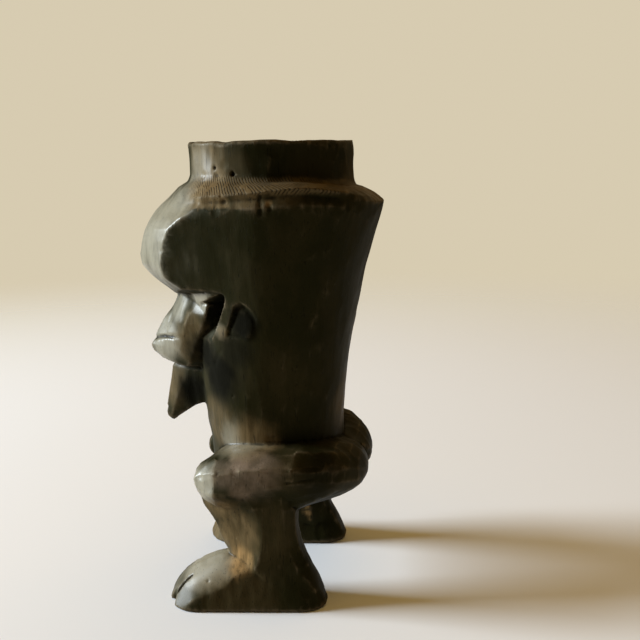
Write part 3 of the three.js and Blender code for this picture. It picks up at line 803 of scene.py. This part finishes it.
def makeWood(name, base, grainGroup, hatchGroup=None):
    material = bpy.data.materials.new(name)
    material.use_nodes = True
    tree = material.node_tree
    shader = tree.nodes["Principled BSDF"]
    looks = addNode(tree, "Group", node_tree=grainGroup).outputs
    streaks, blotches, pores, grainHeight = (looks[n] for n in ("Streaks", "Blotches", "Pores", "Height"))
    shares = {layer["mask"]: maskOf(tree, layer["mask"]) for layer in layers if layer["mask"] != "pores"}
    shares["pores"] = pores
    outsideSootAndShade = calculated(tree, "SUBTRACT", 1.0, shares["sootAndPaintedShade"], clamp=True)
    shares["polishAndPaintedSheen"] = times(tree, shares["polishAndPaintedSheen"], stepped(tree, blotches, *wood["polishBlotches"]), outsideSootAndShade)
    colour = mixColour(tree, stepped(tree, blotches, *wood["baseBlotches"]), base, wood["deepBrown"])
    for layer in layers:
        share = shares[layer["mask"]]
        if "share" in layer:
            share = times(tree, share, layer["share"])
        if "streaks" in layer:
            share = times(tree, share, stepped(tree, streaks, *layer["streaks"]))
        if "blotches" in layer:
            share = times(tree, share, stepped(tree, blotches, *layer["blotches"]))
        colour = mixColour(tree, share, colour, wood[layer["colour"]])
    height = times(tree, grainHeight, wood["grainDepth"])
    if hatchGroup:
        hatch = addNode(tree, "Group", node_tree=hatchGroup)
        cover = maskOf(tree, "hatch")
        cut = times(tree, hatch.outputs["Height"], cover, wood["hatchDepth"])
        height = calculated(tree, "ADD", height, cut)
        colour = mixColour(tree, times(tree, cover, wood["hatchTint"]), colour, wood["brown"])
        stroke = times(tree, hatch.outputs["Stroke"], cover, wood["hatchStroke"])
        colour = mixColour(tree, stroke, colour, wood["sootAndPaintedShade"])
    roughness = stepped(tree, blotches, *wood["roughBlotches"], *wood["roughness"])
    for name, more in wood["rougher"].items():
        roughness = calculated(tree, "ADD", roughness, times(tree, shares[name], more), clamp=True)
    bump = addNode(tree, "Bump")
    bump.inputs["Strength"].default_value = 1.0
    bump.inputs["Distance"].default_value = 1.0
    feed(tree, bump, "Height", height)
    tree.links.new(colour, shader.inputs["Base Color"])
    tree.links.new(roughness, shader.inputs["Roughness"])
    tree.links.new(bump.outputs[0], shader.inputs["Normal"])
    tree.links.new(times(tree, shares["polishAndPaintedSheen"], wood["polishAndPaintedSheen"]), shader.inputs["Coat Weight"])
    shader.inputs["Coat Roughness"].default_value = wood["polishRoughness"]
    shader.inputs["Specular IOR Level"].default_value = wood["specular"]
    shader.inputs["Specular Tint"].default_value = wood["specularTint"]
    return material


grainGroup = makeGrainGroup()
hatchGroup = makeHatchGroup()
outerWood = makeWood("oiledDarkWood", wood["dark"], grainGroup, hatchGroup)
bowlWood = makeWood("bowlWood", wood["bowl"], grainGroup)
soleWood = makeWood("soleWood", wood["deepBrown"], grainGroup)
for material in (outerWood, bowlWood, soleWood):
    carved.data.materials.append(material)

corners = np.zeros(len(carved.data.polygons) * 3, dtype=np.int64)
carved.data.polygons.foreach_get("vertices", corners)
corners = corners.reshape(-1, 3)
slots = np.where(regions["bowl"][corners].all(1), 1, 0)
slots[(shape[:, 2][corners] < cup["soleTop"]).all(1)] = 2
carved.data.polygons.foreach_set("material_index", slots.astype(np.int32))
carved.data.update()
makeActive(carved)
bpy.ops.object.shade_smooth()
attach(carved, "root")
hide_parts("figural_cup")
print("wood finished")


# Floor, lights and camera. Lights by bearing from straight ahead of the face towards its left, and by height.
studio = {
    "floorRadius": 2.2,
    "floorSides": 96,
    "floorRoughness": 0.9,
    "floorColour": (0.76, 0.757, 0.755),
    "floorFade": (0.26, 1.1),     # metres from the middle where the floor starts and ends melting into the sky
    "skyColour": (0.68, 0.60, 0.44),
    "roomColour": (1.0, 0.82, 0.42),
    "roomLight": 0.08,
    "window": {"bearing": 5, "rise": 20, "away": 3.0, "size": (0.9, 1.2), "power": 215,
               "colour": (0.82, 0.91, 1.0)},
    "fill": {"bearing": -120, "rise": 32, "away": 2.0, "size": (2.4, 1.2), "power": 6,
             "colour": (1.0, 0.72, 0.38)},
    "ceiling": {"bearing": 0, "rise": 90, "away": 2.0, "size": (2.0, 2.0), "power": 12,
                "colour": (1.0, 0.58, 0.12)},
    "cameraAt": (373.89, 78.3, 194.03),
    "heading": 98.86,
    "tilt": 11.06,
    "roll": -0.95,
    "focal": 850,             # in pixels of the frame
    "frameWidth": 640,
    "sensor": 36,
    "nearest": 0.01,
}

deselectAll()
bpy.ops.mesh.primitive_circle_add(
    vertices=studio["floorSides"], radius=studio["floorRadius"], fill_type="NGON", location=(0, 0, 0))
floor = bpy.context.object
floor.name = "paleFloor"
pale = bpy.data.materials.new("palePaper")
pale.use_nodes = True
paleTree = pale.node_tree
paleShader = paleTree.nodes["Principled BSDF"]
paleShader.inputs["Base Color"].default_value = (*studio["floorColour"], 1)
paleShader.inputs["Roughness"].default_value = studio["floorRoughness"]
fromMiddle = addNode(paleTree, "VectorMath", operation="LENGTH")
feed(paleTree, fromMiddle, 0, addNode(paleTree, "TexCoord").outputs["Object"])
feed(paleTree, paleShader, "Alpha", stepped(paleTree, fromMiddle.outputs["Value"], *studio["floorFade"], 1.0, 0.0))
floor.data.materials.append(pale)


def addPanel(name, light):
    data = bpy.data.lights.new(name, "AREA")
    data.shape = "RECTANGLE"
    data.size, data.size_y = light["size"]
    data.energy = light["power"]
    data.color = light["colour"]
    panel = bpy.data.objects.new(name, data)
    bpy.context.scene.collection.objects.link(panel)
    bearing, rise = math.radians(light["bearing"]), math.radians(light["rise"])
    way = Vector((math.sin(bearing) * math.cos(rise), -math.cos(bearing) * math.cos(rise), math.sin(rise)))
    panel.location = way * light["away"]
    panel.rotation_euler = way.to_track_quat("Z", "Y").to_euler()
    panel.visible_camera = False


for name in ("window", "fill", "ceiling"):
    addPanel(name + "Light", studio[name])

world = bpy.data.worlds.new("softSky")
bpy.context.scene.world = world
world.use_nodes = True
sky = world.node_tree
room = tuple(value * studio["roomLight"] for value in studio["roomColour"])
seen = addNode(sky, "LightPath").outputs["Is Camera Ray"]
feed(sky, sky.nodes["Background"], "Color", mixColour(sky, seen, room, studio["skyColour"]))

heading, tilt, roll = (math.radians(studio[name]) for name in ("heading", "tilt", "roll"))
ahead = Vector((-math.sin(heading) * math.cos(tilt), math.cos(heading) * math.cos(tilt), -math.sin(tilt)))
level = Vector((math.cos(heading), math.sin(heading), 0))
over = level.cross(ahead)
rightWay = level * math.cos(roll) + over * math.sin(roll)
upWay = over * math.cos(roll) - level * math.sin(roll)
turn = Matrix((rightWay, upWay, -ahead)).transposed().to_4x4()
cameraData = bpy.data.cameras.new("photoCamera")
cameraData.sensor_width = studio["sensor"]
cameraData.lens = studio["sensor"] * studio["focal"] / studio["frameWidth"]
cameraData.clip_start = studio["nearest"]
camera = bpy.data.objects.new("photoCamera", cameraData)
bpy.context.scene.collection.objects.link(camera)
place = (Vector(studio["cameraAt"]) + Vector((0, cup["bowlY"], 0))) / perMetre
camera.matrix_world = Matrix.Translation(place) @ turn
bpy.context.scene.camera = camera
bpy.context.scene.view_settings.view_transform = "Standard"

print("stage set")
